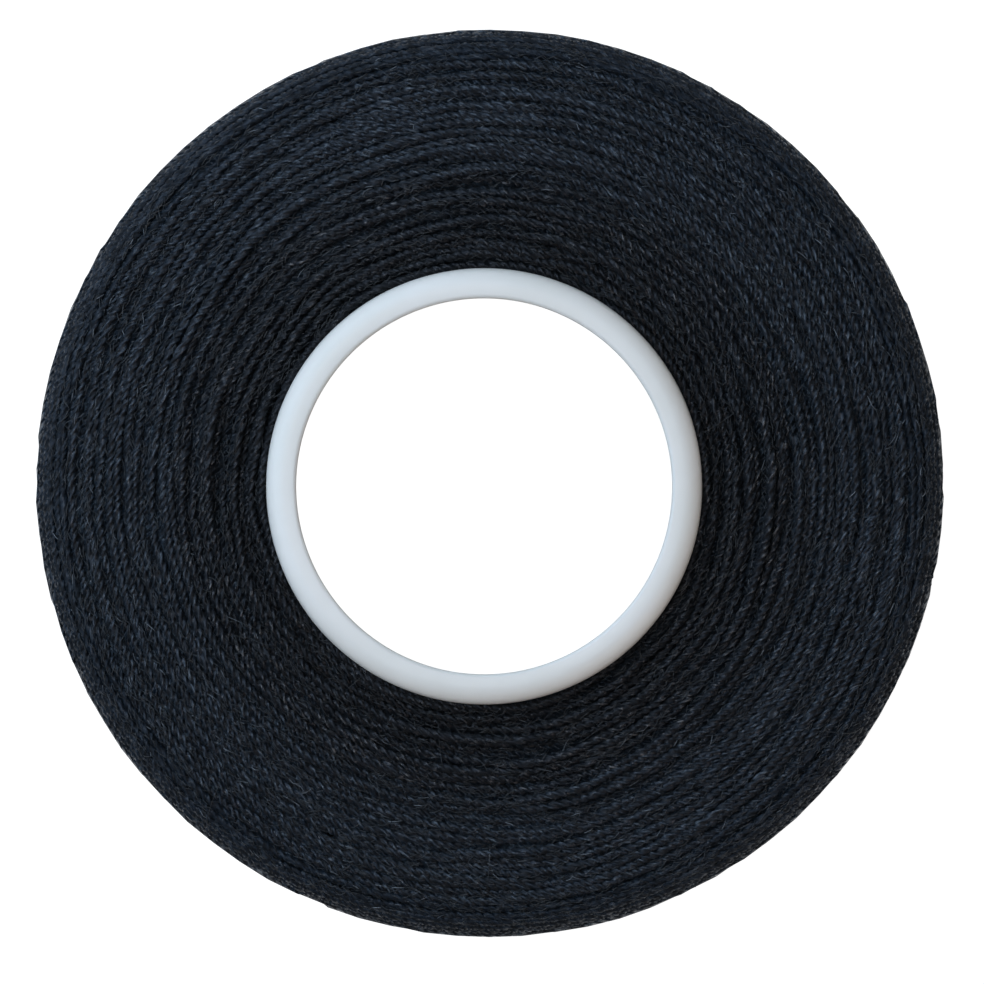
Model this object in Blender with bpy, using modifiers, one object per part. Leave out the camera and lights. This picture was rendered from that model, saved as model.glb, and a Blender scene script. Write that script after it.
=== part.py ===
"""Small cone of sewing thread: a moulded plastic core tube and the thread wound on it.

The cone stands on the wide end of its core, nose up, with its axis on +Z and the
origin on the surface that it stands on. Metres throughout.
"""
import math

import bpy

# Taper of core and winding, measured from the axis.
HALF_ANGLE = math.radians(3.5)

# Winding, measured at its nose rim and along the axis.
WINDING_NOSE_RADIUS = 0.0210
WINDING_BOTTOM_Z = 0.0020
WINDING_HEIGHT = 0.0500
RIM_ROUNDING = 0.0014
BASE_ROUNDING = 0.0022
NOSE_CROWN = 0.0012
NOSE_BOW = 0.0002
BASE_CROWN = 0.0004
FLANK_BELLY = 0.00025

# Core tube, measured where the thread meets it at the nose.
CORE_RADIUS_AT_NOSE = 0.01006
BORE_RADIUS_AT_NOSE = 0.00869
CORE_PROUD_AT_NOSE = 0.0010
LIP_OUTER_ROUNDING = 0.0006
LIP_INNER_ROUNDING = 0.0002
FOOT_ROUNDING = 0.0003

# The thread grips the core in the real cone; the solids keep this gap.
GAP = 0.0003

TURN_STEPS = 96
MERGE_DISTANCE = 0.00001

WINDING_TOP_Z = WINDING_BOTTOM_Z + WINDING_HEIGHT
CORE_TOP_Z = WINDING_TOP_Z + CORE_PROUD_AT_NOSE

THREAD_COLOUR = (0.013, 0.018, 0.025)
CORE_COLOUR = (0.66, 0.71, 0.74)


def tapered(radius_at_nose, z):
    """Radius at height z of a cone that has radius_at_nose level with the winding's nose."""
    return radius_at_nose + (WINDING_TOP_Z - z) * math.tan(HALF_ANGLE)


def rounded_corner(corner, before, after, rounding, steps):
    """Points of the arc that rounds off a profile corner, from the side of `before` to `after`."""
    towards_before = unit(before, corner)
    towards_after = unit(after, corner)
    cosine = towards_before[0] * towards_after[0] + towards_before[1] * towards_after[1]
    half_corner = math.acos(cosine) / 2
    setback = rounding / math.tan(half_corner)
    start = [corner[i] + towards_before[i] * setback for i in range(2)]
    end = [corner[i] + towards_after[i] * setback for i in range(2)]
    bisector = [towards_before[i] + towards_after[i] for i in range(2)]
    length = math.hypot(bisector[0], bisector[1])
    to_centre = rounding / math.sin(half_corner)
    centre = [corner[i] + bisector[i] / length * to_centre for i in range(2)]
    first = math.atan2(start[1] - centre[1], start[0] - centre[0])
    last = math.atan2(end[1] - centre[1], end[0] - centre[0])
    sweep = (last - first + math.pi) % (2 * math.pi) - math.pi
    points = []
    for step in range(steps + 1):
        angle = first + sweep * step / steps
        points.append((centre[0] + rounding * math.cos(angle), centre[1] + rounding * math.sin(angle)))
    return points


def unit(point, origin):
    """Unit vector from origin to point, in the profile's plane."""
    along = (point[0] - origin[0], point[1] - origin[1])
    length = math.hypot(along[0], along[1])
    return (along[0] / length, along[1] / length)


def bowed(start, end, rise, steps):
    """Points between two ends, pushed out sideways by up to `rise` in a shallow parabola."""
    along = unit(end, start)
    outward = (-along[1], along[0])
    length = math.hypot(end[0] - start[0], end[1] - start[1])
    points = []
    for step in range(1, steps):
        t = step / steps
        bow = 4 * rise * t * (1 - t)
        points.append((start[0] + along[0] * length * t + outward[0] * bow,
                       start[1] + along[1] * length * t + outward[1] * bow))
    return points


def turned(name, profile, material, collection):
    """Closed body turned from a profile that runs down its outer side, top to bottom."""
    mesh = bpy.data.meshes.new(name)
    edges = [(i, (i + 1) % len(profile)) for i in range(len(profile))]
    mesh.from_pydata([(r, 0.0, z) for r, z in profile], edges, [])
    body = bpy.data.objects.new(name, mesh)
    collection.objects.link(body)
    screw = body.modifiers.new("Turn", 'SCREW')
    screw.axis = 'Z'
    screw.angle = 2 * math.pi
    screw.steps = TURN_STEPS
    screw.render_steps = TURN_STEPS
    screw.use_merge_vertices = True
    screw.merge_threshold = MERGE_DISTANCE
    screw.use_smooth_shade = True
    mesh.materials.append(material)
    return body


def plain_material(name, colour, roughness):
    """Principled material of one colour."""
    material = bpy.data.materials.new(name)
    material.use_nodes = True
    shader = material.node_tree.nodes["Principled BSDF"]
    shader.inputs["Base Color"].default_value = (*colour, 1.0)
    shader.inputs["Roughness"].default_value = roughness
    shader.inputs["Metallic"].default_value = 0.0
    return material


def winding_profile():
    """Wound form: crowned nose face, rounded rim, tapered flank with a slight belly, base face."""
    hole = CORE_RADIUS_AT_NOSE + GAP
    nose_inner = (tapered(hole, WINDING_TOP_Z), WINDING_TOP_Z)
    nose_rim = (WINDING_NOSE_RADIUS, WINDING_TOP_Z - NOSE_CROWN)
    base_rim = (tapered(WINDING_NOSE_RADIUS, WINDING_BOTTOM_Z), WINDING_BOTTOM_Z + BASE_CROWN)
    base_inner = (tapered(hole, WINDING_BOTTOM_Z), WINDING_BOTTOM_Z)
    rim_arc = rounded_corner(nose_rim, nose_inner, base_rim, RIM_ROUNDING, 5)
    base_arc = rounded_corner(base_rim, nose_rim, base_inner, BASE_ROUNDING, 5)
    points = [nose_inner]
    points += bowed(nose_inner, rim_arc[0], NOSE_BOW, 4)
    points += rim_arc
    points += bowed(rim_arc[-1], base_arc[0], FLANK_BELLY, 6)
    points += base_arc
    points.append(base_inner)
    return points


def core_profile():
    """Tube wall: rounded lip at the nose, tapered outside and bore, flat foot at the base."""
    lip_outer = (tapered(CORE_RADIUS_AT_NOSE, CORE_TOP_Z), CORE_TOP_Z)
    foot_outer = (tapered(CORE_RADIUS_AT_NOSE, 0.0), 0.0)
    foot_inner = (tapered(BORE_RADIUS_AT_NOSE, 0.0), 0.0)
    lip_inner = (tapered(BORE_RADIUS_AT_NOSE, CORE_TOP_Z), CORE_TOP_Z)
    points = rounded_corner(lip_outer, lip_inner, foot_outer, LIP_OUTER_ROUNDING, 5)
    points += rounded_corner(foot_outer, lip_outer, foot_inner, FOOT_ROUNDING, 2)
    points += rounded_corner(foot_inner, foot_outer, lip_inner, FOOT_ROUNDING, 2)
    points += rounded_corner(lip_inner, foot_inner, lip_outer, LIP_INNER_ROUNDING, 2)
    return points


def main():
    for old in list(bpy.data.objects):
        bpy.data.objects.remove(old)
    cone = bpy.data.collections.new("thread_cone")
    bpy.context.scene.collection.children.link(cone)
    core_plastic = plain_material("moulded_plastic", CORE_COLOUR, 0.35)
    thread = plain_material("black_thread", THREAD_COLOUR, 0.8)
    turned("core", core_profile(), core_plastic, cone)
    turned("winding", winding_profile(), thread, cone)


main()
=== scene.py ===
import math

import bpy
import numpy as np
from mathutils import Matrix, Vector


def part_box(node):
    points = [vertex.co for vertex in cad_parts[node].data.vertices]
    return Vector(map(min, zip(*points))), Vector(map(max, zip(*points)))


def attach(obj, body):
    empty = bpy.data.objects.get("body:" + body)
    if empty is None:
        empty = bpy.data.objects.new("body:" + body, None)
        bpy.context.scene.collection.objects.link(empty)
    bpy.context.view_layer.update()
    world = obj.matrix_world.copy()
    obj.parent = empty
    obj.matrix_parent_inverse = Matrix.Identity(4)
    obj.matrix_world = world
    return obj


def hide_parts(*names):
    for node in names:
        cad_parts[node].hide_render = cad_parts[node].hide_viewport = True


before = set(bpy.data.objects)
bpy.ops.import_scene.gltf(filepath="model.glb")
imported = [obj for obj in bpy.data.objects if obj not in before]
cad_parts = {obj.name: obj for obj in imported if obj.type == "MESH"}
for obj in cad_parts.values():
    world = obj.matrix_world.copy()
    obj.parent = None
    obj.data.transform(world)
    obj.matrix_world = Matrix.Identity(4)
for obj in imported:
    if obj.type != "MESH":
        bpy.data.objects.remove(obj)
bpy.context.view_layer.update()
mm = 0.001
fullTurn = 2 * math.pi


def hexColour(code):
    # sRGB hex to the linear RGBA that the shader wants
    channels = [int(code[i:i + 2], 16) / 255 for i in (1, 3, 5)]
    linear = [c / 12.92 if c <= 0.04045 else ((c + 0.055) / 1.055) ** 2.4 for c in channels]
    return (*linear, 1.0)


def addNode(tree, kind, settings=None, feeds=None):
    # settings are the node's own properties; feeds give an input a value, or link it to an output
    node = tree.nodes.new(kind)
    for key, value in (settings or {}).items():
        setattr(node, key, value)
    for key, value in (feeds or {}).items():
        if isinstance(value, bpy.types.NodeSocket):
            tree.links.new(value, node.inputs[key])
        else:
            node.inputs[key].default_value = value
    return node


def newMaterial(name):
    material = bpy.data.materials.new(name)
    material.use_nodes = True
    return material, material.node_tree, material.node_tree.nodes["Principled BSDF"]


def plainObject(name, data):
    thing = bpy.data.objects.new(name, data)
    bpy.context.scene.collection.objects.link(thing)
    return thing


def wear(piece, node):
    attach(piece, "root")
    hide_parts(node)


# The wound form, as a profile that runs out over the nose, down the flank and in under the base.

woundLow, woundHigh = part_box("winding")
coreLow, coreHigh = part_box("core")

form = {
    "halfAngle": math.radians(3.5),
    "noseRadius": 21.0 * mm,
    "coreRadius": 10.06 * mm,       # outside of the core, level with the thread at the nose
    "crown": 1.2 * mm,              # the nose face falls this much from core to rim
    "baseCrown": 0.4 * mm,
    "rimRounding": 1.4 * mm,
    "baseRounding": 2.2 * mm,
    "arcPoints": 24,                # in the rounding of the rim, and in that of the heel
    "top": woundHigh[2],
    "bottom": woundLow[2],
    "runOut": (0.28 * mm, 0.16 * mm),   # the outer turns sit this far off the core's axis
}


def tapered(radiusAtNose, z):
    return radiusAtNose + (form["top"] - z) * math.tan(form["halfAngle"])


def cornerArc(before, corner, after, rounding, count):
    before, corner, after = (np.array(p, float) for p in (before, corner, after))
    toBefore = (before - corner) / np.linalg.norm(before - corner)
    toAfter = (after - corner) / np.linalg.norm(after - corner)
    half = math.acos(float(toBefore @ toAfter)) / 2
    bisector = (toBefore + toAfter) / np.linalg.norm(toBefore + toAfter)
    centre = corner + bisector * rounding / math.sin(half)
    start = corner + toBefore * rounding / math.tan(half) - centre
    end = corner + toAfter * rounding / math.tan(half) - centre
    first = math.atan2(start[1], start[0])
    sweep = (math.atan2(end[1], end[0]) - first + math.pi) % fullTurn - math.pi
    angles = first + sweep * np.linspace(0, 1, count)
    return centre + rounding * np.column_stack([np.cos(angles), np.sin(angles)])


def woundProfile():
    noseInner = (tapered(form["coreRadius"], form["top"]), form["top"])
    noseRim = (form["noseRadius"], form["top"] - form["crown"])
    baseRim = (tapered(form["noseRadius"], form["bottom"]), form["bottom"] + form["baseCrown"])
    baseInner = (tapered(form["coreRadius"], form["bottom"]), form["bottom"])
    rim = cornerArc(noseInner, noseRim, baseRim, form["rimRounding"], form["arcPoints"])
    heel = cornerArc(noseRim, baseRim, baseInner, form["baseRounding"], form["arcPoints"])
    corners = np.vstack([noseInner, rim, heel, baseInner])
    steps = np.hypot(*np.diff(corners, axis=0).T)
    return corners, np.concatenate([[0], np.cumsum(steps)])


profilePoints, profileRun = woundProfile()
noseRun = profileRun[1]             # how far along the profile the rim starts to round off
rimEnd = profileRun[form["arcPoints"]]
flankEnd = profileRun[form["arcPoints"] + 1]
heelEnd = profileRun[2 * form["arcPoints"]]
wholeRun = profileRun[-1]


def profileAt(run):
    # radius and height of the surface, and its outward normal, at a distance along the profile
    little = 0.25 * mm
    radius, height = (np.interp(run, profileRun, profilePoints[:, axis]) for axis in (0, 1))
    stepR, stepZ = (np.interp(run + little, profileRun, profilePoints[:, axis])
                    - np.interp(run - little, profileRun, profilePoints[:, axis]) for axis in (0, 1))
    length = np.hypot(stepR, stepZ)
    return radius, height, -stepZ / length, stepR / length


def placed(run, angle, depth):
    # world points at a run along the profile, an angle round the axis and a depth under the surface
    radius, height, normalR, normalZ = profileAt(run)
    radius = radius - normalR * depth
    height = height - normalZ * depth
    inner = tapered(form["coreRadius"], height)
    outer = tapered(form["noseRadius"], height)
    share = np.clip((radius - inner) / (outer - inner), 0, 1)
    x = radius * np.cos(angle) + form["runOut"][0] * share
    y = radius * np.sin(angle) + form["runOut"][1] * share
    return np.column_stack([x, y, height])


# The rows that show. Each row is laid in arcs that come up, run on top and dive under the next one.
# A size in threes holds next to the core, halfway out and at the rim. Waves are counted in a turn.

rows = {
    "threadRadius": 0.225 * mm,
    "layLength": 1.35 * mm,         # one full turn of the three plies
    "plies": 3,
    "sizePlaces": (0.05, 0.5, 0.9),     # where the threes hold, as shares of the way over the rim
    "pitch": (0.50 * mm, 0.44 * mm, 0.39 * mm),
    "nearest": 0.18 * mm,           # no row's middle comes closer to the core
    "arcSpan": (math.radians(18), math.radians(60)),
    "rimArcSpan": (math.radians(60), math.radians(150)),
    "rimCalm": 0.25,                # at the rim, all that is uneven shrinks to this share
    "overlap": math.radians(8),
    "slope": math.radians(1.5),
    "runSpread": 0.07 * mm,
    "heightSpread": (0.13 * mm, 0.09 * mm, 0.05 * mm),
    "wander": 0.05 * mm,            # of one row by itself, sideways
    "wanderWaves": (5, 8, 13),
    "ripple": 0.03 * mm,            # of one row by itself, up and down
    "rippleWaves": (6, 10, 17, 26),
    "kink": 0.027 * mm,             # short kinks, about every 2 mm
    "kinkWaves": (31, 43, 52),      # at the radius that follows
    "kinkRadius": 16 * mm,
    "kinkLift": 0.8,                # waves of the kinks up and down, as a share of these
    "dive": 0.40 * mm,              # how deep an arc's ends go under the next arc
    "diveLength": math.radians(6),
    "pathStep": 0.40 * mm,
    "fewestPoints": 8,
    "unevenTwist": 0.48,            # radians from one path point to the next
    "slub": 0.12,                   # thick and thin places, as a share of the radius
    "slubLimit": 0.28,
    "seed": 7,
}

shared = {                          # what neighbouring rows have in common
    "wander": 0.16 * mm,
    "wanderWaves": (2, 3, 4, 5, 7, 9, 12, 15),
    "wanderFade": 0.6,              # the more waves in a turn, the smaller, by this power
    "wanderLean": 0.25 / mm,        # radians that a wave may shift by for each mm out from the core
    "wanderSum": 2.4,               # about what the waves add up to
    "ropes": 12,                    # swells, added up
    "ropeHeight": (0.13 * mm, 0.06 * mm, 0.02 * mm),
    "ropeWidth": (0.75 * mm, 1.7 * mm),
    "ropeWaves": 7,                 # spread of their number in a turn
}

fieldRng = np.random.default_rng(rows["seed"])
wanderField = [(waves, fieldRng.uniform(0, fullTurn), fieldRng.normal(0, 1) / waves ** shared["wanderFade"],
                fieldRng.uniform(-1, 1) * shared["wanderLean"]) for waves in shared["wanderWaves"]]
ropeField = [(int(round(fieldRng.normal(0, shared["ropeWaves"]))), fieldRng.uniform(0, fullTurn),
              fullTurn / fieldRng.uniform(*shared["ropeWidth"])) for _ in range(shared["ropes"])]


def fromCore(run, sizes):
    # a size given in threes, at a distance along the profile
    return np.interp(run / rimEnd, rows["sizePlaces"], sizes)


def sharedWander(angle, run):
    # waves that neighbouring rows have in common, so that they stay side by side
    total = sum(size * np.sin(waves * angle + phase + lean * run)
                for waves, phase, size, lean in wanderField)
    return shared["wander"] * total / shared["wanderSum"]


def sharedHeight(angle, run):
    # swells two or three rows wide, which gather the rows into ropes with valleys between
    total = sum(np.sin(waves * angle + phase + radial * run) for waves, phase, radial in ropeField)
    return fromCore(run, shared["ropeHeight"]) * total * math.sqrt(2 / len(ropeField))


def ownWaves(angle, rng, wavesRound):
    # smooth random wave of about unit size along one row
    total = np.zeros_like(angle)
    for waves in wavesRound:
        total += rng.normal(0, 1) * np.sin(waves * angle + rng.uniform(0, fullTurn))
    return total / math.sqrt(len(wavesRound))


def arcPath(run, start, span, slope, lift, rng, calm=1.0):
    # one arc of a row; lift raises it above the surface, and a calm under 1 evens it out
    radiusHere = float(profileAt(run)[0])
    count = max(rows["fewestPoints"], int(span * radiusHere / rows["pathStep"]))
    t = np.linspace(0, 1, count)
    angle = start + span * t
    kinks = np.array(rows["kinkWaves"]) * radiusHere / rows["kinkRadius"]
    along = run + math.tan(slope) * radiusHere * span * (t - 0.5) + calm * sharedWander(angle, run)
    along = along + calm * rows["wander"] * ownWaves(angle, rng, rows["wanderWaves"])
    along = along + calm * rows["kink"] * ownWaves(angle, rng, kinks)
    fromEnd = np.minimum(t, 1 - t) * span / rows["diveLength"]
    depth = rows["threadRadius"] - lift + calm * rows["dive"] * (1 - np.clip(fromEnd, 0, 1)) ** 2
    depth = depth + calm * rows["ripple"] * ownWaves(angle, rng, rows["rippleWaves"])
    bob = rows["kink"] * ownWaves(angle, rng, kinks * rows["kinkLift"])
    depth = depth + calm * (bob - sharedHeight(angle, along))
    return placed(np.clip(along, rows["nearest"], wholeRun), angle, depth)


def rowRuns(first, last, pitchAt):
    # where along the profile the rows lie
    runs = []
    run = first
    while run < last:
        runs.append(run)
        run += float(pitchAt(run))
    return runs


def rowArcs(run, rng, spread, arcSpan, calm):
    # the arcs that make one row
    arcs = []
    angle = rng.uniform(0, fullTurn)
    end = angle + fullTurn
    while angle < end:
        span = rng.uniform(*arcSpan)
        slope = rng.uniform(-1, 1) * rows["slope"] * calm
        here = max(rows["nearest"], run + rng.normal(0, rows["runSpread"]) * calm)
        lift = rng.normal(0, spread)
        arcs.append(arcPath(here, angle, span + rows["overlap"], slope, lift, rng, calm))
        angle += span
    return arcs


# Geometry Nodes: sweep a strand of plies along every path.

def strandTree():
    tree = bpy.data.node_groups.new("twistedThread", 'GeometryNodeTree')
    sockets = [
        ("Paths", 'NodeSocketGeometry', None),
        ("Thread Radius", 'NodeSocketFloat', rows["threadRadius"]),
        ("Lay Length", 'NodeSocketFloat', rows["layLength"]),
        ("Step", 'NodeSocketFloat', 0.13 * mm),
        ("Sides", 'NodeSocketInt', 12),
        ("Plies", 'NodeSocketInt', rows["plies"]),
        ("Ply Groove", 'NodeSocketFloat', 0.6),
        ("Seed", 'NodeSocketInt', 1),
        ("Thread", 'NodeSocketMaterial', None),
    ]
    for name, kind, value in sockets:
        socket = tree.interface.new_socket(name, in_out='INPUT', socket_type=kind)
        if value is not None:
            socket.default_value = value
    tree.interface.new_socket("Strands", in_out='OUTPUT', socket_type='NodeSocketGeometry')
    given = addNode(tree, 'NodeGroupInput').outputs

    # the path: even steps, a twist on top of its own unevenness, and a length that starts anywhere
    evened = addNode(tree, 'GeometryNodeResampleCurve', {"mode": 'LENGTH'},
                     {"Curve": given["Paths"], "Length": given["Step"]})
    upright = addNode(tree, 'GeometryNodeSetCurveNormal', {"mode": 'Z_UP'},
                      {"Curve": evened.outputs["Curve"]})
    length = addNode(tree, 'GeometryNodeSplineParameter').outputs["Length"]
    uneven = addNode(tree, 'GeometryNodeInputCurveTilt').outputs[0]
    turns = addNode(tree, 'ShaderNodeMath', {"operation": 'DIVIDE'},
                    {0: length, 1: given["Lay Length"]})
    twist = addNode(tree, 'ShaderNodeMath', {"operation": 'MULTIPLY_ADD'},
                    {0: turns.outputs[0], 1: fullTurn, 2: uneven})
    twisted = addNode(tree, 'GeometryNodeSetCurveTilt', None,
                      {"Curve": upright.outputs["Curve"], "Tilt": twist.outputs[0]})
    whichPath = addNode(tree, 'GeometryNodeCurveOfPoint').outputs["Curve Index"]
    anywhere = addNode(tree, 'FunctionNodeRandomValue', {"data_type": 'FLOAT'},
                       {"Min": 0.0, "Max": 400 * mm, "ID": whichPath, "Seed": given["Seed"]})
    along = addNode(tree, 'ShaderNodeMath', {"operation": 'ADD'},
                    {0: length, 1: anywhere.outputs["Value"]})
    keepAlong = addNode(tree, 'GeometryNodeCaptureAttribute', {"domain": 'POINT'},
                        {"Geometry": twisted.outputs["Curve"]})
    keepAlong.capture_items.new('FLOAT', "Along")
    tree.links.new(along.outputs[0], keepAlong.inputs["Along"])

    # the section: a circle drawn in between the plies
    circle = addNode(tree, 'GeometryNodeCurvePrimitiveCircle', {"mode": 'RADIUS'},
                     {"Resolution": given["Sides"], "Radius": 1.0})
    index = addNode(tree, 'GeometryNodeInputIndex').outputs[0]
    share = addNode(tree, 'ShaderNodeMath', {"operation": 'DIVIDE'}, {0: index, 1: given["Sides"]})
    lobe = addNode(tree, 'ShaderNodeMath', {"operation": 'MULTIPLY'},
                   {0: share.outputs[0], 1: given["Plies"]})
    halfTurns = addNode(tree, 'ShaderNodeMath', {"operation": 'MULTIPLY'},
                        {0: lobe.outputs[0], 1: math.pi})
    wave = addNode(tree, 'ShaderNodeMath', {"operation": 'COSINE'}, {0: halfTurns.outputs[0]})
    crest = addNode(tree, 'ShaderNodeMath', {"operation": 'ABSOLUTE'}, {0: wave.outputs[0]})
    below = addNode(tree, 'ShaderNodeMath', {"operation": 'SUBTRACT'}, {0: crest.outputs[0], 1: 1.0})
    reach = addNode(tree, 'ShaderNodeMath', {"operation": 'MULTIPLY_ADD'},
                    {0: below.outputs[0], 1: given["Ply Groove"], 2: 1.0})
    position = addNode(tree, 'GeometryNodeInputPosition').outputs[0]
    across = addNode(tree, 'ShaderNodeVectorMath', {"operation": 'SCALE'},
                     {0: position, "Scale": reach.outputs[0]})
    keepAcross = addNode(tree, 'GeometryNodeCaptureAttribute', {"domain": 'POINT'},
                         {"Geometry": circle.outputs["Curve"]})
    keepAcross.capture_items.new('VECTOR', "Across")
    tree.links.new(across.outputs[0], keepAcross.inputs["Across"])
    sized = addNode(tree, 'ShaderNodeVectorMath', {"operation": 'SCALE'},
                    {0: keepAcross.outputs["Across"], "Scale": given["Thread Radius"]})
    section = addNode(tree, 'GeometryNodeSetPosition', None,
                      {"Geometry": keepAcross.outputs["Geometry"], "Position": sized.outputs[0]})

    # sweep it, and store where each point lies in its strand: across in radii, along in millimetres
    swept = addNode(tree, 'GeometryNodeCurveToMesh', None,
                    {"Curve": keepAlong.outputs["Geometry"],
                     "Profile Curve": section.outputs["Geometry"], "Fill Caps": True})
    parts = addNode(tree, 'ShaderNodeSeparateXYZ', None, {0: keepAcross.outputs["Across"]}).outputs
    inMm = addNode(tree, 'ShaderNodeMath', {"operation": 'DIVIDE'},
                   {0: keepAlong.outputs["Along"], 1: mm})
    inStrand = addNode(tree, 'ShaderNodeCombineXYZ', None,
                       {0: parts[0], 1: parts[1], 2: inMm.outputs[0]})
    stored = addNode(tree, 'GeometryNodeStoreNamedAttribute',
                     {"data_type": 'FLOAT_VECTOR', "domain": 'POINT'},
                     {"Geometry": swept.outputs["Mesh"], "Name": "inStrand", "Value": inStrand.outputs[0]})
    smooth = addNode(tree, 'GeometryNodeSetShadeSmooth', None, {"Geometry": stored.outputs["Geometry"]})
    real = addNode(tree, 'GeometryNodeRealizeInstances', None, {"Geometry": smooth.outputs["Geometry"]})
    dressed = addNode(tree, 'GeometryNodeSetMaterial', None,
                      {"Geometry": real.outputs["Geometry"], "Material": given["Thread"]})
    addNode(tree, 'NodeGroupOutput', None, {"Strands": dressed.outputs["Geometry"]})
    return tree


threadTree = strandTree()
inputNames = {item.name: item.identifier
              for item in threadTree.interface.items_tree if item.in_out == 'INPUT'}


def strandMesh(name, paths, strand):
    # the paths become poly splines, the tree sweeps them, and the result is kept as a plain mesh
    rng = np.random.default_rng(len(paths))
    curve = bpy.data.curves.new(name + "Paths", 'CURVE')
    curve.dimensions = '3D'
    thinnest, thickest = 1 - rows["slubLimit"], 1 + rows["slubLimit"]
    for path in paths:
        count = len(path)
        spline = curve.splines.new('POLY')
        spline.points.add(count - 1)
        places = np.column_stack([path, np.ones(count)])
        spline.points.foreach_set("co", places.astype(np.float32).ravel())
        tilt = rng.uniform(0, fullTurn) + np.cumsum(rng.normal(0, rows["unevenTwist"], count))
        spline.points.foreach_set("tilt", tilt.astype(np.float32))
        slubs = np.convolve(rng.normal(0, 1, count + 2), (0.4, 0.8, 0.4), 'valid')
        thickness = (1 + rows["slub"] * slubs).clip(thinnest, thickest)
        spline.points.foreach_set("radius", thickness.astype(np.float32))
    holder = plainObject(name + "Holder", curve)
    sweep = holder.modifiers.new("Strand", 'NODES')
    sweep.node_group = threadTree
    for key, value in strand.items():
        sweep[inputNames[key]] = value
    shown = holder.evaluated_get(bpy.context.evaluated_depsgraph_get())
    mesh = bpy.data.meshes.new_from_object(shown)
    mesh.name = name
    bpy.data.objects.remove(holder)
    bpy.data.curves.remove(curve)
    print(name, len(paths), "paths,", sum(len(face.vertices) - 2 for face in mesh.polygons), "triangles")
    return plainObject(name, mesh)


# Spun polyester sewing thread, dyed blue-black: three plies twisted together. The dye swallows nearly
# all light, so what shows is the dull bluish gleam on each ply's crest, broken up by fuzz. Real fibres
# are about 0.015 mm across, which is too fine to show, so they are drawn coarser.

dyed = {
    "gleamTint": "#d8dbe4",
    "sheen": 0.12,                  # for a gleam of 1
    "sheenTint": "#b4c4d0",
    "fibres": (2.8, 2.8, 2.4),      # grains to a thread's radius across, and to 1 mm along: 0.08 x 0.4 mm
    "tufts": (2.7 / mm, 4.8 / mm, 4.8 / mm),    # of fuzz, along the turn, out and up: 0.37 x 0.2 mm
    "patches": 1.5 / mm,            # lighter and darker stretches, 0.7 mm
    "turnRadius": 15.5 * mm,        # where a tuft's length along the turn is true
    "crestShare": 0.16,             # these four are mixed into the pattern that the dye follows; the crest share makes ply crests paler and grooves darker, painted shade between the plies
    "patchShare": 0.12,
    "tuftShare": 0.42,
    "fibreShare": 0.3,
    "gap": (0.50, "#03070b"),       # how high the pattern is in a gap between fibres, and its colour: near-black, painted shade in the gaps
    "dyeAt": 0.59,
    # pale grains at the top of the pattern: painted glints, light sparkling off the fibres
    "glintAt": 0.68,
    "tuftEdge": (0.40, 0.60),       # from beside a tuft to the middle of it
    "roughness": (0.64, 0.22),
    "nap": 0.046 * mm,
    "drawnPly": 0.08 * mm,          # how high the plies stand where they are drawn as bump
}

coreShade = {                          # painted shade: the turns next to the core are darker than those further out, for the shade by the proud core
    "darkAt": 10.5 * mm,
    "fullAt": 16.5 * mm,
    "darkest": 0.22,
}


def fromAxis(tree, place):
    # distance from the Z axis: of the cone, or of a strand in its own measures
    flat = addNode(tree, 'ShaderNodeVectorMath', {"operation": 'MULTIPLY'},
                   {0: place, 1: (1.0, 1.0, 0.0)})
    length = addNode(tree, 'ShaderNodeVectorMath', {"operation": 'LENGTH'}, {0: flat.outputs[0]})
    return length.outputs["Value"]


# painted shade: scales a colour down towards the core, for the shade by the proud core
def shadeNearCore(tree, spot, colour):
    share = addNode(tree, 'ShaderNodeMapRange', None,
                    {"Value": fromAxis(tree, spot), "From Min": coreShade["darkAt"],
                     "From Max": coreShade["fullAt"], "To Min": coreShade["darkest"], "To Max": 1.0})
    darkened = addNode(tree, 'ShaderNodeVectorMath', {"operation": 'SCALE'},
                       {0: colour, "Scale": share.outputs[0]})
    return darkened.outputs[0]


def tuftNoise(tree, spot):
    # clumps of fuzz, drawn out along the turns
    sides = addNode(tree, 'ShaderNodeSeparateXYZ', None, {0: spot}).outputs
    bearing = addNode(tree, 'ShaderNodeMath', {"operation": 'ARCTAN2'}, {0: sides[1], 1: sides[0]})
    alongTurn = addNode(tree, 'ShaderNodeMath', {"operation": 'MULTIPLY'},
                        {0: bearing.outputs[0], 1: dyed["turnRadius"]})
    wound = addNode(tree, 'ShaderNodeCombineXYZ', None,
                    {0: alongTurn.outputs[0], 1: fromAxis(tree, spot), 2: sides[2]})
    tuftPlace = addNode(tree, 'ShaderNodeVectorMath', {"operation": 'MULTIPLY'},
                        {0: wound.outputs[0], 1: dyed["tufts"]})
    return addNode(tree, 'ShaderNodeTexNoise', None,
                   {"Vector": tuftPlace.outputs[0], "Scale": 1.0, "Detail": 2.0, "Roughness": 0.5})


def plyBump(tree, place, normal):
    # the twist of the plies, for rows swept with too few sides to shape it
    parts = addNode(tree, 'ShaderNodeSeparateXYZ', None, {0: place}).outputs
    around = addNode(tree, 'ShaderNodeMath', {"operation": 'ARCTAN2'}, {0: parts[1], 1: parts[0]})
    lobes = addNode(tree, 'ShaderNodeMath', {"operation": 'MULTIPLY'},
                    {0: around.outputs[0], 1: rows["plies"]})
    turnPerMm = rows["plies"] * fullTurn / (rows["layLength"] / mm)
    phase = addNode(tree, 'ShaderNodeMath', {"operation": 'MULTIPLY_ADD'},
                    {0: parts[2], 1: -turnPerMm, 2: lobes.outputs[0]})
    wave = addNode(tree, 'ShaderNodeMath', {"operation": 'COSINE'}, {0: phase.outputs[0]})
    plies = addNode(tree, 'ShaderNodeBump', None,
                    {"Height": wave.outputs[0], "Strength": 1.0, "Distance": dyed["drawnPly"],
                     "Normal": normal})
    return plies.outputs["Normal"]


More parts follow.
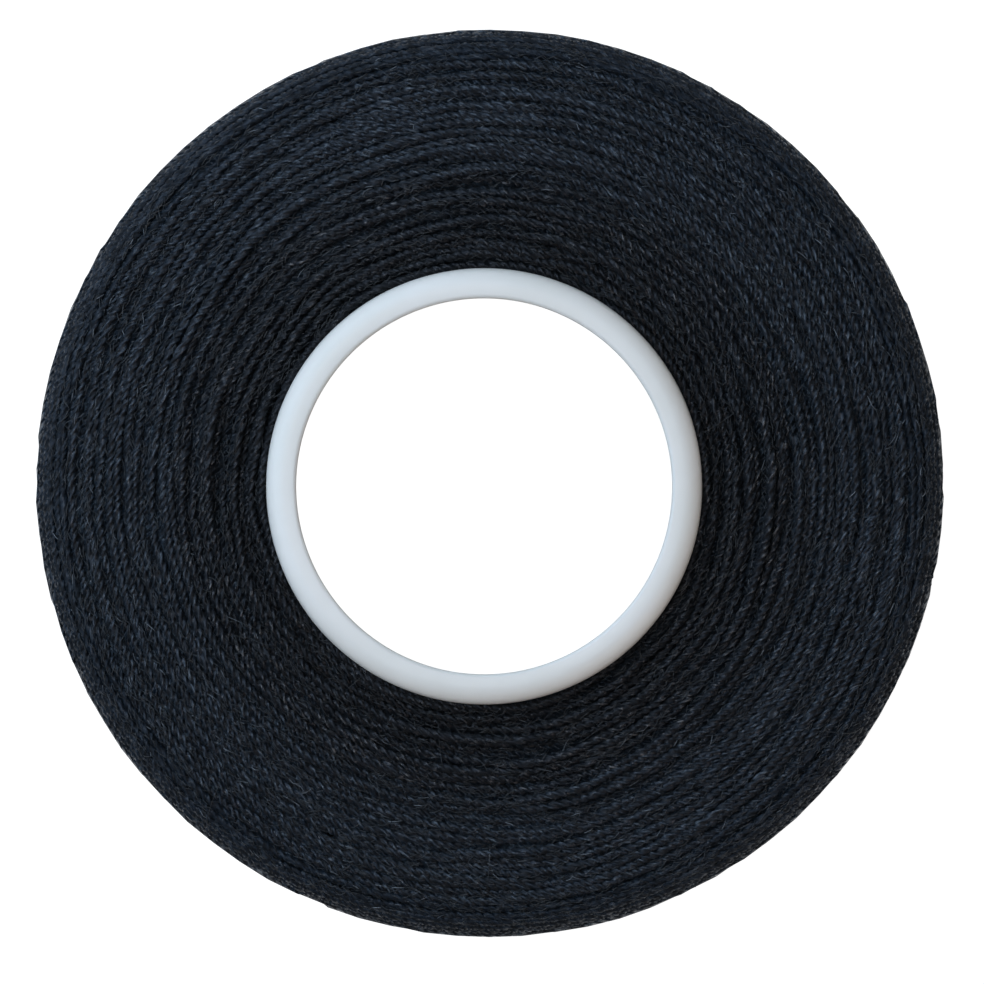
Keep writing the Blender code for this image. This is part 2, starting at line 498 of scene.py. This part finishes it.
def threadMaterial(name, drawnPlies, gleam, dyeColour, glintColour):
    material, tree, shader = newMaterial(name)
    shader.inputs["Specular IOR Level"].default_value = gleam
    shader.inputs["Specular Tint"].default_value = hexColour(dyed["gleamTint"])
    shader.inputs["Sheen Weight"].default_value = dyed["sheen"] * gleam
    shader.inputs["Sheen Roughness"].default_value = 0.5
    shader.inputs["Sheen Tint"].default_value = hexColour(dyed["sheenTint"])
    place = addNode(tree, 'ShaderNodeAttribute', {"attribute_name": "inStrand"}).outputs["Vector"]
    spot = addNode(tree, 'ShaderNodeTexCoord').outputs["Object"]
    fibrePlace = addNode(tree, 'ShaderNodeVectorMath', {"operation": 'MULTIPLY'},
                         {0: place, 1: dyed["fibres"]})
    fibres = addNode(tree, 'ShaderNodeTexNoise', None,
                     {"Vector": fibrePlace.outputs[0], "Scale": 1.0, "Detail": 3.0, "Roughness": 0.55})
    patches = addNode(tree, 'ShaderNodeTexNoise', None,
                      {"Vector": spot, "Scale": dyed["patches"], "Detail": 2.0, "Roughness": 0.6})
    tufts = tuftNoise(tree, spot)

    # the crest share paints shade into the grooves between plies
    pattern = 0.0
    for source, share in ((fromAxis(tree, place), dyed["crestShare"]),
                          (patches.outputs["Fac"], dyed["patchShare"]),
                          (tufts.outputs["Fac"], dyed["tuftShare"]),
                          (fibres.outputs["Fac"], dyed["fibreShare"])):
        added = addNode(tree, 'ShaderNodeMath', {"operation": 'MULTIPLY_ADD'},
                        {0: source, 1: share, 2: pattern})
        pattern = added.outputs[0]
    dye = addNode(tree, 'ShaderNodeValToRGB', None, {"Fac": pattern})
    dye.color_ramp.elements[0].position = dyed["gap"][0]
    dye.color_ramp.elements[0].color = hexColour(dyed["gap"][1])
    dye.color_ramp.elements[1].position = dyed["dyeAt"]
    dye.color_ramp.elements[1].color = hexColour(dyeColour)
    # third stop: painted glints
    dye.color_ramp.elements.new(dyed["glintAt"]).color = hexColour(glintColour)
    # painted shade darkens the dye towards the core
    tree.links.new(shadeNearCore(tree, spot, dye.outputs["Color"]), shader.inputs["Base Color"])

    beside, middle = dyed["tuftEdge"]
    dullest, smoothest = dyed["roughness"]
    dull = addNode(tree, 'ShaderNodeMapRange', None,
                   {"Value": tufts.outputs["Fac"], "From Min": beside, "From Max": middle,
                    "To Min": dullest, "To Max": smoothest})
    tree.links.new(dull.outputs[0], shader.inputs["Roughness"])
    nap = addNode(tree, 'ShaderNodeMath', {"operation": 'ADD'},
                  {0: fibres.outputs["Fac"], 1: tufts.outputs["Fac"]})
    fine = addNode(tree, 'ShaderNodeBump', None,
                   {"Height": nap.outputs[0], "Strength": 1.0, "Distance": dyed["nap"]})
    normal = fine.outputs["Normal"]
    if drawnPlies:
        normal = plyBump(tree, place, normal)
    tree.links.new(normal, shader.inputs["Normal"])
    return material


# One thread, seen in five places: name, drawn plies, gleam, dye and painted glint colour.
noseThread = threadMaterial("spunPolyesterThread", False, 0.47, "#151e28", "#4e555b")
coreShadedThread = threadMaterial("spunPolyesterThreadCoreShaded", False, 0.40, "#111821", "#72706f")   # by the core: darker dye and less gleam, painted shade by the proud core
# at the rim: darker dye and grain with less gleam, painted shade that dims the rim's glancing catch of the
# glowing floor
rimThread = threadMaterial("spunPolyesterThreadRim", False, 0.29, "#101a24", "#353b41")
heartShadeThread = threadMaterial("spunPolyesterThreadInShade", False, 0.14, "#080d12", "#20272d")   # inside: dark and dull, painted shade seen in the gaps between the rows
sideThread = threadMaterial("spunPolyesterThreadWound", True, 0.42, "#101b26", "#4b545b")       # flank

pliedStrand = {"Thread Radius": rows["threadRadius"], "Lay Length": rows["layLength"], "Step": 0.17 * mm,
               "Sides": 12, "Plies": rows["plies"], "Ply Groove": 0.62, "Thread": noseThread}
innerStrand = {**pliedStrand, "Thread": coreShadedThread}
rimStrand = {**pliedStrand, "Sides": 10, "Ply Groove": 0.42, "Thread": rimThread}   # worn rounder
untwisted = 1.0e6                   # so long a lay that the strand stays straight
# six sides lie inside their circle, so the plain strand is a little wider, for its rows to close up
plainStrand = {"Thread Radius": 0.26 * mm, "Lay Length": untwisted, "Step": 1.5 * mm,
               "Sides": 6, "Plies": 1, "Ply Groove": 0.0, "Thread": sideThread}

nose = {
    "groups": {                     # each takes the rows up to this share of the way over the rim
        "noseRowsInner": (0.36, innerStrand),
        "noseRowsMiddle": (0.62, pliedStrand),
        "noseRowsOuter": (0.82, pliedStrand),
        "noseRowsRim": (1.1, rimStrand),
    },
    "riders": 60,                   # short arcs that lie across the others
    "riderPlaces": (0.04, 0.95),    # as shares of the way to the rim
    "riderLift": 0.10 * mm,
    "riderSpread": 0.04 * mm,
    "riderSlope": math.radians(2.6),
    "riderSpan": (0.3, 0.9),        # radians
    "underDepth": (0.42 * mm, 0.28 * mm, 0.24 * mm),    # the rows below, seen between the top ones
    "underPitch": 0.38 * mm,
    "underSpan": 1.02 * fullTurn,
    "underCalm": 0.5,
    "underStep": 0.9 * mm,
}


def makeNose():
    rng = np.random.default_rng(rows["seed"])
    groups = {name: [] for name in nose["groups"]}

    def groupOf(run):
        return groups[next(name for name, (until, strand) in nose["groups"].items()
                           if run / rimEnd < until)]

    for run in rowRuns(rows["threadRadius"], rimEnd, lambda run: fromCore(run, rows["pitch"])):
        calm = 1.0 if run < noseRun else rows["rimCalm"]
        arcSpan = rows["arcSpan"] if run < noseRun else rows["rimArcSpan"]
        spread = float(fromCore(run, rows["heightSpread"]))
        groupOf(run).extend(rowArcs(run, rng, spread * calm, arcSpan, calm))
    for _ in range(nose["riders"]):
        run = rng.uniform(*nose["riderPlaces"]) * noseRun
        slope = rng.uniform(-1, 1) * nose["riderSlope"]
        lift = nose["riderLift"] + rng.normal(0, nose["riderSpread"])
        start = rng.uniform(0, fullTurn)
        span = rng.uniform(*nose["riderSpan"])
        groupOf(run).append(arcPath(run, start, span, slope, lift, rng))
    for name, (until, strand) in nose["groups"].items():
        wear(strandMesh(name, groups[name], strand), "winding")
    under = []
    for run in rowRuns(rows["threadRadius"], noseRun, lambda run: nose["underPitch"]):
        lift = -float(fromCore(run, nose["underDepth"]))
        start = rng.uniform(0, fullTurn)
        under.append(arcPath(run, start, nose["underSpan"], 0.0, lift, rng, nose["underCalm"]))
    strand = {**plainStrand, "Step": nose["underStep"]}
    wear(strandMesh("noseRowsUnder", under, strand), "winding")


fuzz = {
    "pieces": {"noseFuzz": 31, "noseFuzzToo": 32},      # each with its seed
    "count": 7000,                  # in each piece
    "fibreRadius": 0.018 * mm,
    "length": (0.2 * mm, 0.7 * mm),
    "lean": math.radians(22),       # spread of the fibres about the direction of the rows
    "bend": 0.05 * mm,
    "longOnes": 9,
    "longer": 4,                    # times as long as the rest
    "pathPoints": 5,
    "step": 0.25 * mm,
    "rooted": 0.10 * mm,            # both ends sink this far into the rows
    "rise": (0.0 * mm, 0.05 * mm),
}


def fuzzMaterial():
    # stray ends of the spun fibres: the same dyed polyester, paler where one catches the light
    material, tree, shader = newMaterial("strayPolyesterFibre")
    shader.inputs["Roughness"].default_value = 0.45
    shader.inputs["Specular IOR Level"].default_value = 0.6
    place = addNode(tree, 'ShaderNodeAttribute', {"attribute_name": "inStrand"}).outputs["Vector"]
    spot = addNode(tree, 'ShaderNodeTexCoord').outputs["Object"]
    whichFibre = addNode(tree, 'ShaderNodeVectorMath', {"operation": 'MULTIPLY'},
                         {0: place, 1: (0.0, 0.0, 0.4)})
    varied = addNode(tree, 'ShaderNodeTexNoise', None,
                     {"Vector": whichFibre.outputs[0], "Scale": 1.0, "Detail": 1.0})
    shade = addNode(tree, 'ShaderNodeValToRGB', None, {"Fac": varied.outputs["Fac"]})
    shade.color_ramp.elements[0].position = 0.40
    shade.color_ramp.elements[0].color = hexColour("#090c0f")
    shade.color_ramp.elements[1].position = 0.60
    shade.color_ramp.elements[1].color = hexColour("#252b31")
    shade.color_ramp.elements.new(0.71).color = hexColour("#757c83")
    # painted shade darkens the fibres towards the core, as on the thread
    tree.links.new(shadeNearCore(tree, spot, shade.outputs["Color"]), shader.inputs["Base Color"])
    return material


def makeFuzz(name, seed, fibre):
    rng = np.random.default_rng(seed)
    count = fuzz["count"]
    t = np.linspace(-1, 1, fuzz["pathPoints"])
    widest = form["noseRadius"] - form["rimRounding"] / 2
    radius = np.sqrt(rng.uniform(form["coreRadius"] ** 2, widest ** 2, (count, 1)))
    run = radius - form["coreRadius"] + rows["threadRadius"]
    angle = rng.uniform(0, fullTurn, (count, 1))
    reach = rng.uniform(*fuzz["length"], (count, 1)) / 2
    lean = rng.normal(0, fuzz["lean"], (count, 1))
    bend = rng.normal(0, fuzz["bend"], (count, 1))
    for sizes in (reach, lean, bend):
        sizes[:fuzz["longOnes"]] *= fuzz["longer"]
    along = run + reach * np.sin(lean) * t + bend * t ** 2
    bearing = angle + reach * np.cos(lean) * t / radius
    arch = 1 - t ** 2
    depth = fuzz["rooted"] * (1 - arch) - rng.uniform(*fuzz["rise"], (count, 1)) * arch
    depth = depth - sharedHeight(bearing, along)
    points = placed(along.ravel(), bearing.ravel(), depth.ravel()).reshape(count, len(t), 3)
    strand = {**plainStrand, "Thread Radius": fuzz["fibreRadius"], "Step": fuzz["step"],
              "Sides": 3, "Thread": fibre}
    wear(strandMesh(name, points, strand), "winding")


flank = {
    "lay": math.radians(12),        # the crossing threads climb at this angle
    "turnBack": 0.08,               # they level out over this share of the way, at either end
    "levelled": 0.35,
    "layers": (                     # direction, threads, depth
        (1, 74, 0.62 * mm),
        (-1, 42, 0.40 * mm),
        (1, 15, 0.27 * mm),
    ),
    "spacingSpread": 0.12,          # of the distance between two threads
    "wobble": 0.07 * mm,
    "wobbleWaves": (2, 3, 5, 9),
    "rippleWaves": (3, 7, 12),
    "pastEnds": 0.2 * mm,
    "pathPoints": 500,
    "step": 2.5 * mm,
}


def crossing(start, direction, depth, rng):
    # one pass of the thread down the flank, from rim to heel
    t = np.linspace(0, 1, flank["pathPoints"])
    pace = np.clip(np.minimum(t, 1 - t) / flank["turnBack"], flank["levelled"], 1)
    fallen = (np.cumsum(pace) - pace[0]) / (np.sum(pace) - pace[0])
    run = rimEnd + (heelEnd - rimEnd) * fallen
    meanRadius = tapered(form["noseRadius"], (form["top"] + form["bottom"]) / 2)
    turned = (heelEnd - rimEnd) / math.tan(flank["lay"]) / meanRadius
    angle = start + direction * turned * t
    run = run + flank["wobble"] * ownWaves(angle, rng, flank["wobbleWaves"])
    depth = depth + rows["ripple"] * ownWaves(angle, rng, flank["rippleWaves"])
    return placed(np.clip(run, rimEnd - flank["pastEnds"], heelEnd + flank["pastEnds"]), angle, depth)


def makeFlank(rng):
    paths = []
    for direction, count, depth in flank["layers"]:
        for start in np.arange(count) * fullTurn / count:
            nudge = rng.normal(0, flank["spacingSpread"] * fullTurn / count)
            paths.append(crossing(start + nudge, direction, depth, rng))
    strand = {**plainStrand, "Step": flank["step"]}
    wear(strandMesh("flankRows", paths, strand), "winding")


shoulder = {                        # level turns close under the rim
    "above": 0.1 * mm,
    "reach": 1.6 * mm,              # how far down the flank they go
    "pitch": 0.22 * mm,
    "span": math.radians(200),      # of each of the two arcs in a turn
    "lift": 0.02 * mm,
    "liftSpread": 0.01 * mm,
    "sunk": 0.16 * mm,              # how much deeper the lowest turn lies
    "calm": 0.25,
}


def makeShoulder(rng):
    paths = []
    lowest = rimEnd + shoulder["reach"]
    for run in rowRuns(rimEnd - shoulder["above"], lowest, lambda run: shoulder["pitch"]):
        sunk = (run - rimEnd) / shoulder["reach"] * shoulder["sunk"]
        for start in rng.uniform(0, fullTurn) + np.array((0, math.pi)):
            lift = rng.normal(shoulder["lift"] - sunk, shoulder["liftSpread"])
            paths.append(arcPath(run, start, shoulder["span"], 0.0, lift, rng, shoulder["calm"]))
    wear(strandMesh("shoulderRows", paths, plainStrand), "winding")


base = {
    "liftSpread": 0.03 * mm,
    "arcSpan": (math.radians(90), math.radians(180)),
    "calm": 0.3,
    "step": 0.9 * mm,
}


def makeBase(rng):
    paths = []
    last = wholeRun - rows["threadRadius"]
    for run in rowRuns(heelEnd, last, lambda run: rows["pitch"][2]):
        paths += rowArcs(run, rng, base["liftSpread"], base["arcSpan"], base["calm"])
    strand = {**plainStrand, "Step": base["step"]}
    wear(strandMesh("baseRows", paths, strand), "winding")


def turnedMesh(name, outline, count, material):
    # closed ring turned from an outline that runs down its outer side
    outline = np.asarray(outline, float)
    angles = np.arange(count) * fullTurn / count
    corners = np.stack([outline[:, 0, None] * np.cos(angles), outline[:, 0, None] * np.sin(angles),
                        np.repeat(outline[:, 1, None], count, axis=1)], axis=-1)
    mesh = bpy.data.meshes.new(name)
    faces = []
    for i in range(len(outline)):
        j = (i + 1) % len(outline)
        for k in range(count):
            after = (k + 1) % count
            faces.append((i * count + k, j * count + k, j * count + after, i * count + after))
    mesh.from_pydata(corners.reshape(-1, 3).tolist(), [], faces)
    mesh.shade_smooth()
    mesh.materials.append(material)
    print(name, "turned,", len(faces), "faces")
    return plainObject(name, mesh)


heart = {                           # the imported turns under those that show
    "noseDepth": 0.95 * mm,
    "sideDepth": 0.72 * mm,
    "baseDepth": 0.42 * mm,
    "offCore": 0.01 * mm,
    "points": (30, 14, 24),         # of its outline, over the rim, down the flank and under the base
    "sides": 160,
}


def makeHeart():
    overRim, downFlank, underBase = heart["points"]
    runs = np.concatenate([np.linspace(0, rimEnd, overRim), np.linspace(rimEnd, flankEnd, downFlank)[1:],
                           np.linspace(flankEnd, wholeRun, underBase)[1:]])
    radius, height, normalR, normalZ = profileAt(runs)
    depth = np.interp(runs, (noseRun, rimEnd, flankEnd, heelEnd),
                      (heart["noseDepth"], heart["sideDepth"], heart["sideDepth"], heart["baseDepth"]))
    outline = np.column_stack([radius - normalR * depth, height - normalZ * depth])
    for end in (0, -1):
        outline[end, 0] = tapered(form["coreRadius"], outline[end, 1]) + heart["offCore"]
    # the heart wears the darkened thread: painted shade in the gaps between rows
    wear(turnedMesh("woundHeart", outline, heart["sides"], heartShadeThread), "winding")


core = {
    "boreAtNose": 8.69 * mm,
    "lipOuter": 0.85 * mm,          # roundings
    "lipInner": 0.2 * mm,
    "foot": 0.3 * mm,
    "lipPoints": 12,
    "arcPoints": 6,                 # of the other three roundings
    "sides": 240,
    "tints": ("#dfdcd4", "#e7e3dc"),
    "clouds": 0.22 / mm,            # faint flow of the melt, 4.5 mm
    "grain": 2.6 / mm,              # of the mould, 0.4 mm
    "grainHeight": 0.02 * mm,
}


def corePlastic():
    # injection-moulded natural-white polypropylene: milky, even, soft satin gloss, a faint cool cast
    material, tree, shader = newMaterial("mouldedPolypropylene")
    shader.inputs["Roughness"].default_value = 0.42
    shader.inputs["IOR"].default_value = 1.49
    shader.inputs["Subsurface Weight"].default_value = 0.25
    shader.inputs["Subsurface Radius"].default_value = (1.0, 1.0, 1.0)
    shader.inputs["Subsurface Scale"].default_value = 1.2 * mm
    spot = addNode(tree, 'ShaderNodeTexCoord').outputs["Object"]
    clouds = addNode(tree, 'ShaderNodeTexNoise', None,
                     {"Vector": spot, "Scale": core["clouds"], "Detail": 3.0, "Roughness": 0.5})
    tint = addNode(tree, 'ShaderNodeValToRGB', None, {"Fac": clouds.outputs["Fac"]})
    tint.color_ramp.elements[0].position = 0.3
    tint.color_ramp.elements[0].color = hexColour(core["tints"][0])
    tint.color_ramp.elements[1].position = 0.7
    tint.color_ramp.elements[1].color = hexColour(core["tints"][1])
    tree.links.new(tint.outputs["Color"], shader.inputs["Base Color"])
    grain = addNode(tree, 'ShaderNodeTexNoise', None,
                    {"Vector": spot, "Scale": core["grain"], "Detail": 2.0})
    bump = addNode(tree, 'ShaderNodeBump', None,
                   {"Height": grain.outputs["Fac"], "Strength": 0.15, "Distance": core["grainHeight"]})
    tree.links.new(bump.outputs["Normal"], shader.inputs["Normal"])
    return material


def makeCore():
    lipTop = coreHigh[2]
    footEnd = coreLow[2]
    lipOuter = (tapered(form["coreRadius"], lipTop), lipTop)
    lipInner = (tapered(core["boreAtNose"], lipTop), lipTop)
    footOuter = (tapered(form["coreRadius"], footEnd), footEnd)
    footInner = (tapered(core["boreAtNose"], footEnd), footEnd)
    outline = np.vstack([
        cornerArc(lipInner, lipOuter, footOuter, core["lipOuter"], core["lipPoints"]),
        cornerArc(lipOuter, footOuter, footInner, core["foot"], core["arcPoints"]),
        cornerArc(footOuter, footInner, lipInner, core["foot"], core["arcPoints"]),
        cornerArc(footInner, lipInner, lipOuter, core["lipInner"], core["arcPoints"]),
    ])
    wear(turnedMesh("coreTube", outline, core["sides"], corePlastic()), "core")


makeNose()
strayFibre = fuzzMaterial()
for name, seed in fuzz["pieces"].items():
    makeFuzz(name, seed, strayFibre)
sideRng = np.random.default_rng(rows["seed"] + 1)
makeFlank(sideRng)
makeShoulder(sideRng)
makeBase(sideRng)
makeHeart()
makeCore()
print("cone made")

stage = {
    "floorReach": 1.5,
    "floorTone": "#8c8c8c",
    "floorGlow": 0.98,              # a lit opal table, so that the ground stays white round the cone
    "roomColour": "#dfeaf3",
    "roomStrength": 0.14,
}

lamps = {                           # place, size of its square, watts, colour; all aim at the nose
    "leftLamp": ((-0.082, 0.052, 0.152), 0.22, 0.330, "#c4dcf6"),
    "overhead": ((-0.05, 0.06, 0.70), 0.08, 0.76, "#faf6f3"),
    "warmFill": ((0.12, -0.11, 0.18), 0.06, 0.055, "#ffe8df"),
}


def makeStage():
    # opal acrylic sheet lit from below: matt, even and white
    opal, tree, shader = newMaterial("opalTable")
    shader.inputs["Base Color"].default_value = hexColour(stage["floorTone"])
    shader.inputs["Roughness"].default_value = 0.9
    shader.inputs["Specular IOR Level"].default_value = 0.0
    shader.inputs["Emission Color"].default_value = (1, 1, 1, 1)
    shader.inputs["Emission Strength"].default_value = stage["floorGlow"]
    mesh = bpy.data.meshes.new("paleFloor")
    far = stage["floorReach"]
    corners = [(-far, -far, 0), (far, -far, 0), (far, far, 0), (-far, far, 0)]
    mesh.from_pydata(corners, [], [(0, 1, 2, 3)])
    mesh.materials.append(opal)
    plainObject("paleFloor", mesh)


def makeLights():
    for name, (place, size, power, colour) in lamps.items():
        light = bpy.data.lights.new(name, 'AREA')
        light.size = size
        light.energy = power
        light.color = hexColour(colour)[:3]
        lamp = plainObject(name, light)
        lamp.location = place
        aim = Vector((0, 0, form["top"])) - Vector(place)
        lamp.rotation_euler = aim.to_track_quat('-Z', 'Y').to_euler()
    world = bpy.data.worlds.new("paleRoom")
    bpy.context.scene.world = world
    world.use_nodes = True
    background = world.node_tree.nodes["Background"]
    background.inputs["Color"].default_value = hexColour(stage["roomColour"])
    background.inputs["Strength"].default_value = stage["roomStrength"]


photo = {
    "side": 984,                    # pixels, as are the next two
    "rimCentre": (490.2, 482.9),
    "rimRadius": 453.2,
    "distance": 0.280,              # camera above the rim, near enough for the flank to stay hidden
    "sensor": 36.0,
    "clip": (0.01, 10.0),
}


def makeCamera():
    camera = bpy.data.cameras.new("overhead")
    pixel = form["noseRadius"] / photo["rimRadius"]
    camera.sensor_width = photo["sensor"]
    camera.lens = photo["sensor"] * (photo["distance"] / pixel) / photo["side"]
    camera.clip_start, camera.clip_end = photo["clip"]
    eye = plainObject("overheadEye", camera)
    offX = (photo["side"] / 2 - photo["rimCentre"][0]) * pixel
    offY = (photo["rimCentre"][1] - photo["side"] / 2) * pixel
    eye.location = (form["runOut"][0] + offX, form["runOut"][1] + offY,
                    form["top"] - form["crown"] + photo["distance"])
    bpy.context.scene.camera = eye


makeStage()
makeLights()
makeCamera()
bpy.context.scene.view_settings.view_transform = 'Standard'
print("stage, lights and camera set")
